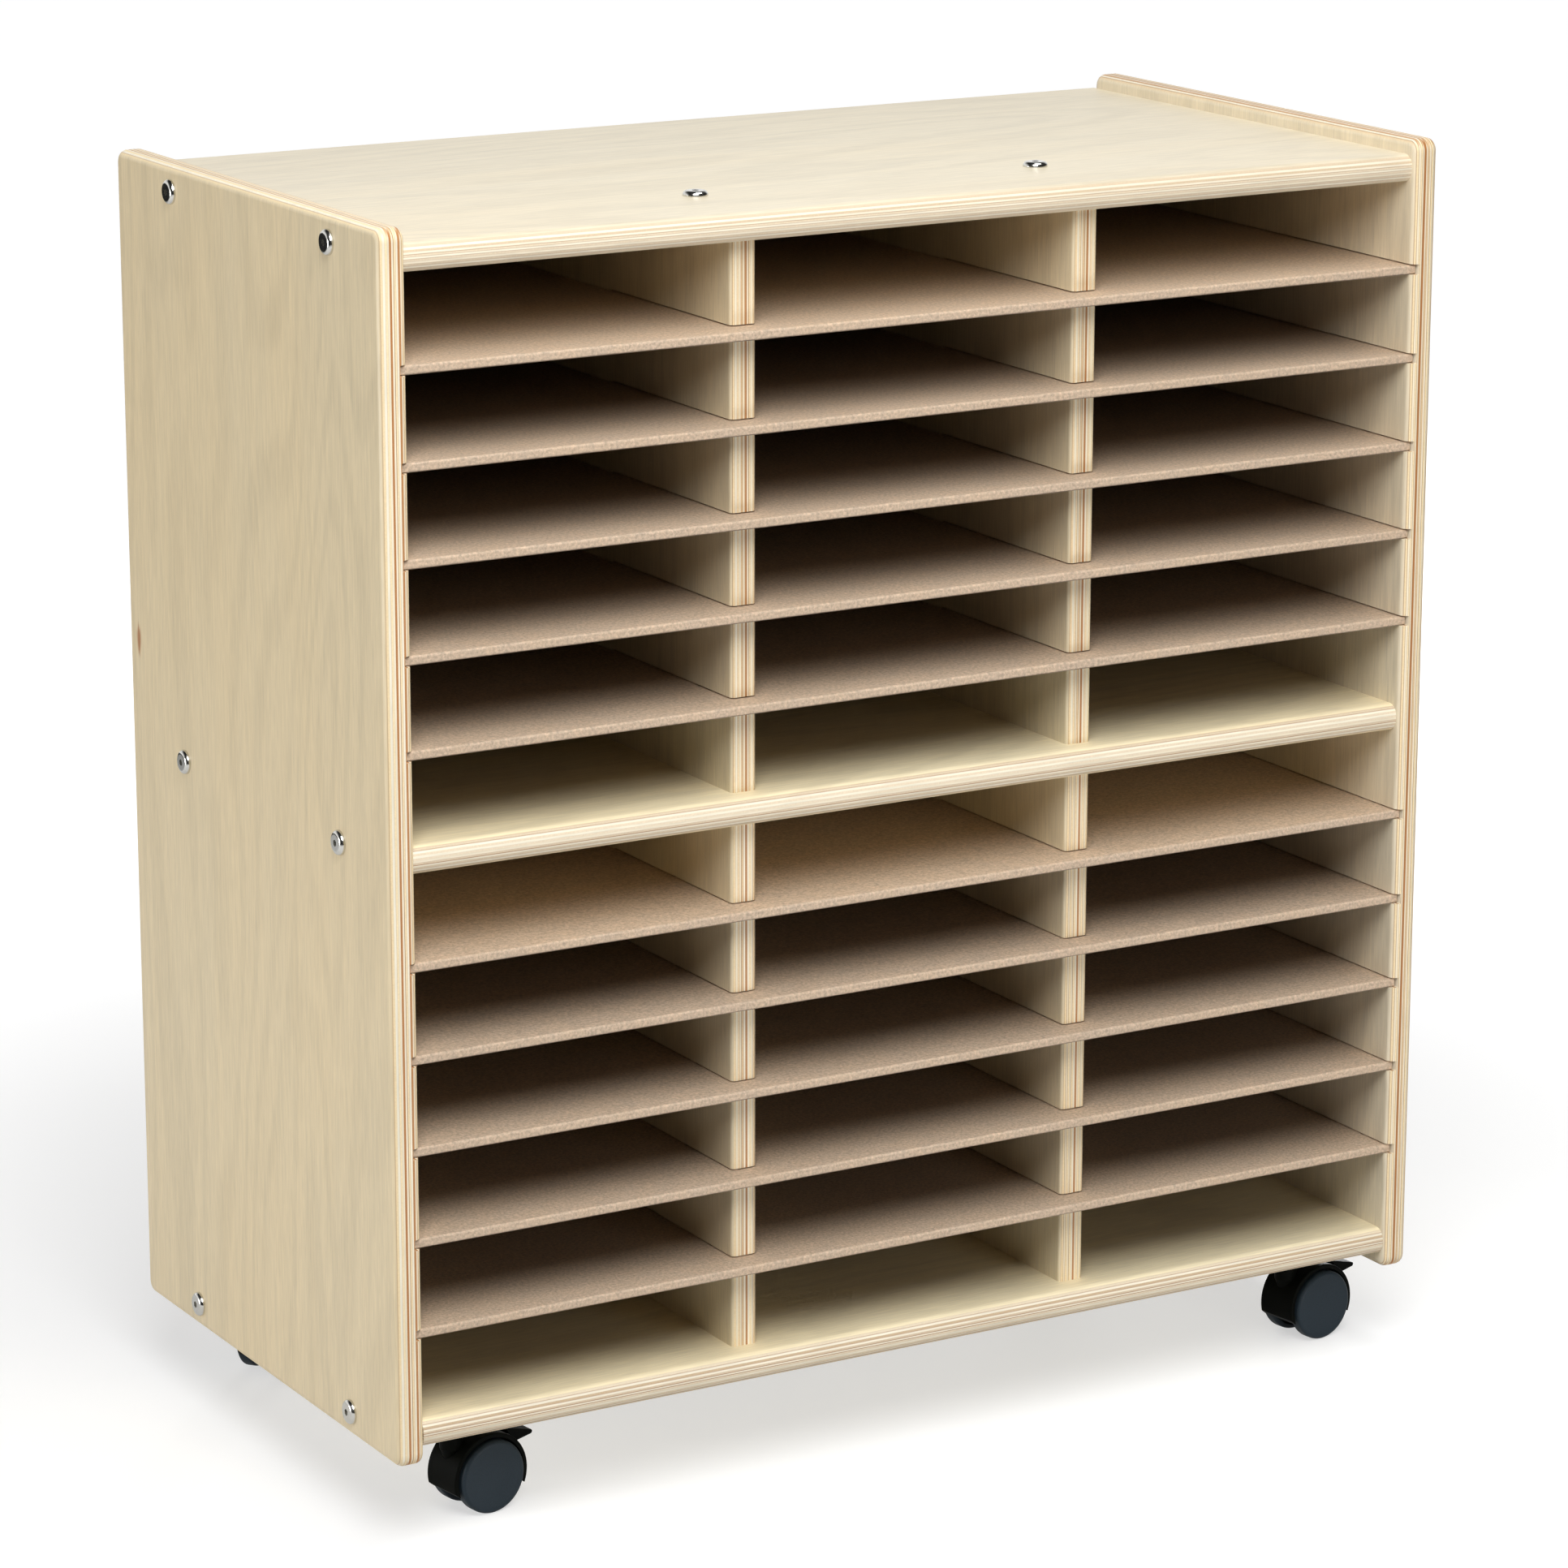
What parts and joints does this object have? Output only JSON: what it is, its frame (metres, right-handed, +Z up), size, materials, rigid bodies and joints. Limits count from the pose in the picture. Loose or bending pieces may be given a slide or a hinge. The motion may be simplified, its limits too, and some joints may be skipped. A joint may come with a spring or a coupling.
{
  "type": "classroom mailbox",
  "caption": "Mobile plywood classroom mailbox with open letter-size slots between loose hardboard shelves, standing on swivel casters with brake levers.",
  "frame": {"origin": "on the floor under the centre of the cabinet's outline", "axes": "+X to the right as seen from the open front, +Y to the back, +Z up; the slots open towards -Y"},
  "size_m": [0.7688, 0.381, 0.828],
  "materials": {
    "birch_plywood": "satin lacquer",
    "hardboard": "smooth matte",
    "nickel": "polished",
    "zinc_steel": "zinc plated",
    "beech": "raw",
    "black_nylon": "satin",
    "wheel_nylon": "satin"
  },
  "bodies": {
    "cabinet": {"left_side_panel": "birch_plywood", "right_side_panel": "birch_plywood", "top_panel": "birch_plywood", "middle_panel": "birch_plywood", "bottom_panel": "birch_plywood", "back_panel": "hardboard", "upper_left_divider": "birch_plywood", "upper_right_divider": "birch_plywood", "lower_left_divider": "birch_plywood", "lower_right_divider": "birch_plywood", "left_side_bolts": "nickel", "right_side_bolts": "nickel", "top_bolts": "nickel", "bottom_bolts": "nickel", "panel_insert_nuts": "zinc_steel", "divider_insert_nuts": "zinc_steel", "divider_dowels": "beech", "back_screws": "zinc_steel", "caster_screws": "zinc_steel", "front_left_caster_plate": "zinc_steel", "front_left_kingpin": "zinc_steel", "front_right_caster_plate": "zinc_steel", "front_right_kingpin": "zinc_steel", "rear_left_caster_plate": "zinc_steel", "rear_left_kingpin": "zinc_steel", "rear_right_caster_plate": "zinc_steel", "rear_right_kingpin": "zinc_steel"},
    "upper_shelf_1": {"upper_shelf_1": "hardboard"},
    "upper_shelf_2": {"upper_shelf_2": "hardboard"},
    "upper_shelf_3": {"upper_shelf_3": "hardboard"},
    "upper_shelf_4": {"upper_shelf_4": "hardboard"},
    "upper_shelf_5": {"upper_shelf_5": "hardboard"},
    "lower_shelf_1": {"lower_shelf_1": "hardboard"},
    "lower_shelf_2": {"lower_shelf_2": "hardboard"},
    "lower_shelf_3": {"lower_shelf_3": "hardboard"},
    "lower_shelf_4": {"lower_shelf_4": "hardboard"},
    "lower_shelf_5": {"lower_shelf_5": "hardboard"},
    "front_left_swivel": {"front_left_hood": "black_nylon", "front_left_axle": "zinc_steel", "front_left_brake_pin": "zinc_steel"},
    "front_left_wheel_front": {"front_left_wheel_front": "wheel_nylon"},
    "front_left_wheel_rear": {"front_left_wheel_rear": "wheel_nylon"},
    "front_left_brake": {"front_left_brake_lever": "black_nylon"},
    "front_right_swivel": {"front_right_hood": "black_nylon", "front_right_axle": "zinc_steel", "front_right_brake_pin": "zinc_steel"},
    "front_right_wheel_front": {"front_right_wheel_front": "wheel_nylon"},
    "front_right_wheel_rear": {"front_right_wheel_rear": "wheel_nylon"},
    "front_right_brake": {"front_right_brake_lever": "black_nylon"},
    "rear_left_swivel": {"rear_left_hood": "black_nylon", "rear_left_axle": "zinc_steel"},
    "rear_left_wheel_front": {"rear_left_wheel_front": "wheel_nylon"},
    "rear_left_wheel_rear": {"rear_left_wheel_rear": "wheel_nylon"},
    "rear_right_swivel": {"rear_right_hood": "black_nylon", "rear_right_axle": "zinc_steel"},
    "rear_right_wheel_front": {"rear_right_wheel_front": "wheel_nylon"},
    "rear_right_wheel_rear": {"rear_right_wheel_rear": "wheel_nylon"}
  },
  "joints": [
    {"name": "upper_shelf_1_slide", "type": "slide", "parent": "cabinet", "child": "upper_shelf_1", "axis": [0, -1, 0], "range_m": [0, 0.38]},
    {"name": "upper_shelf_2_slide", "type": "slide", "parent": "cabinet", "child": "upper_shelf_2", "axis": [0, -1, 0], "range_m": [0, 0.38]},
    {"name": "upper_shelf_3_slide", "type": "slide", "parent": "cabinet", "child": "upper_shelf_3", "axis": [0, -1, 0], "range_m": [0, 0.38]},
    {"name": "upper_shelf_4_slide", "type": "slide", "parent": "cabinet", "child": "upper_shelf_4", "axis": [0, -1, 0], "range_m": [0, 0.38]},
    {"name": "upper_shelf_5_slide", "type": "slide", "parent": "cabinet", "child": "upper_shelf_5", "axis": [0, -1, 0], "range_m": [0, 0.38]},
    {"name": "lower_shelf_1_slide", "type": "slide", "parent": "cabinet", "child": "lower_shelf_1", "axis": [0, -1, 0], "range_m": [0, 0.38]},
    {"name": "lower_shelf_2_slide", "type": "slide", "parent": "cabinet", "child": "lower_shelf_2", "axis": [0, -1, 0], "range_m": [0, 0.38]},
    {"name": "lower_shelf_3_slide", "type": "slide", "parent": "cabinet", "child": "lower_shelf_3", "axis": [0, -1, 0], "range_m": [0, 0.38]},
    {"name": "lower_shelf_4_slide", "type": "slide", "parent": "cabinet", "child": "lower_shelf_4", "axis": [0, -1, 0], "range_m": [0, 0.38]},
    {"name": "lower_shelf_5_slide", "type": "slide", "parent": "cabinet", "child": "lower_shelf_5", "axis": [0, -1, 0], "range_m": [0, 0.38]},
    {"name": "front_left_swivel", "type": "hinge", "parent": "cabinet", "child": "front_left_swivel", "pos_m": [-0.319, -0.1375, 0.045], "axis": [0, 0, 1], "continuous": true},
    {"name": "front_left_wheel_front_spin", "type": "hinge", "parent": "front_left_swivel", "child": "front_left_wheel_front", "pos_m": [-0.29925, -0.13437, 0.024], "axis": [-0.1564, 0.9877, 0], "continuous": true},
    {"name": "front_left_wheel_rear_spin", "type": "hinge", "parent": "front_left_swivel", "child": "front_left_wheel_rear", "pos_m": [-0.29925, -0.13437, 0.024], "axis": [-0.1564, 0.9877, 0], "continuous": true},
    {"name": "front_left_brake_tip", "type": "hinge", "parent": "front_left_swivel", "child": "front_left_brake", "pos_m": [-0.29065, -0.13301, 0.03907], "axis": [-0.1564, 0.9877, 0], "range_deg": [0, 12]},
    {"name": "front_right_swivel", "type": "hinge", "parent": "cabinet", "child": "front_right_swivel", "pos_m": [0.319, -0.1375, 0.045], "axis": [0, 0, 1], "continuous": true},
    {"name": "front_right_wheel_front_spin", "type": "hinge", "parent": "front_right_swivel", "child": "front_right_wheel_front", "pos_m": [0.33875, -0.13437, 0.024], "axis": [-0.1564, 0.9877, 0], "continuous": true},
    {"name": "front_right_wheel_rear_spin", "type": "hinge", "parent": "front_right_swivel", "child": "front_right_wheel_rear", "pos_m": [0.33875, -0.13437, 0.024], "axis": [-0.1564, 0.9877, 0], "continuous": true},
    {"name": "front_right_brake_tip", "type": "hinge", "parent": "front_right_swivel", "child": "front_right_brake", "pos_m": [0.34735, -0.13301, 0.03907], "axis": [-0.1564, 0.9877, 0], "range_deg": [0, 12]},
    {"name": "rear_left_swivel", "type": "hinge", "parent": "cabinet", "child": "rear_left_swivel", "pos_m": [-0.319, 0.1445, 0.045], "axis": [0, 0, 1], "continuous": true},
    {"name": "rear_left_wheel_front_spin", "type": "hinge", "parent": "rear_left_swivel", "child": "rear_left_wheel_front", "pos_m": [-0.30368, 0.15736, 0.024], "axis": [-0.6428, 0.766, 0], "continuous": true},
    {"name": "rear_left_wheel_rear_spin", "type": "hinge", "parent": "rear_left_swivel", "child": "rear_left_wheel_rear", "pos_m": [-0.30368, 0.15736, 0.024], "axis": [-0.6428, 0.766, 0], "continuous": true},
    {"name": "rear_right_swivel", "type": "hinge", "parent": "cabinet", "child": "rear_right_swivel", "pos_m": [0.319, 0.1445, 0.045], "axis": [0, 0, 1], "continuous": true},
    {"name": "rear_right_wheel_front_spin", "type": "hinge", "parent": "rear_right_swivel", "child": "rear_right_wheel_front", "pos_m": [0.33432, 0.15736, 0.024], "axis": [-0.6428, 0.766, 0], "continuous": true},
    {"name": "rear_right_wheel_rear_spin", "type": "hinge", "parent": "rear_right_swivel", "child": "rear_right_wheel_rear", "pos_m": [0.33432, 0.15736, 0.024], "axis": [-0.6428, 0.766, 0], "continuous": true}
  ]
}
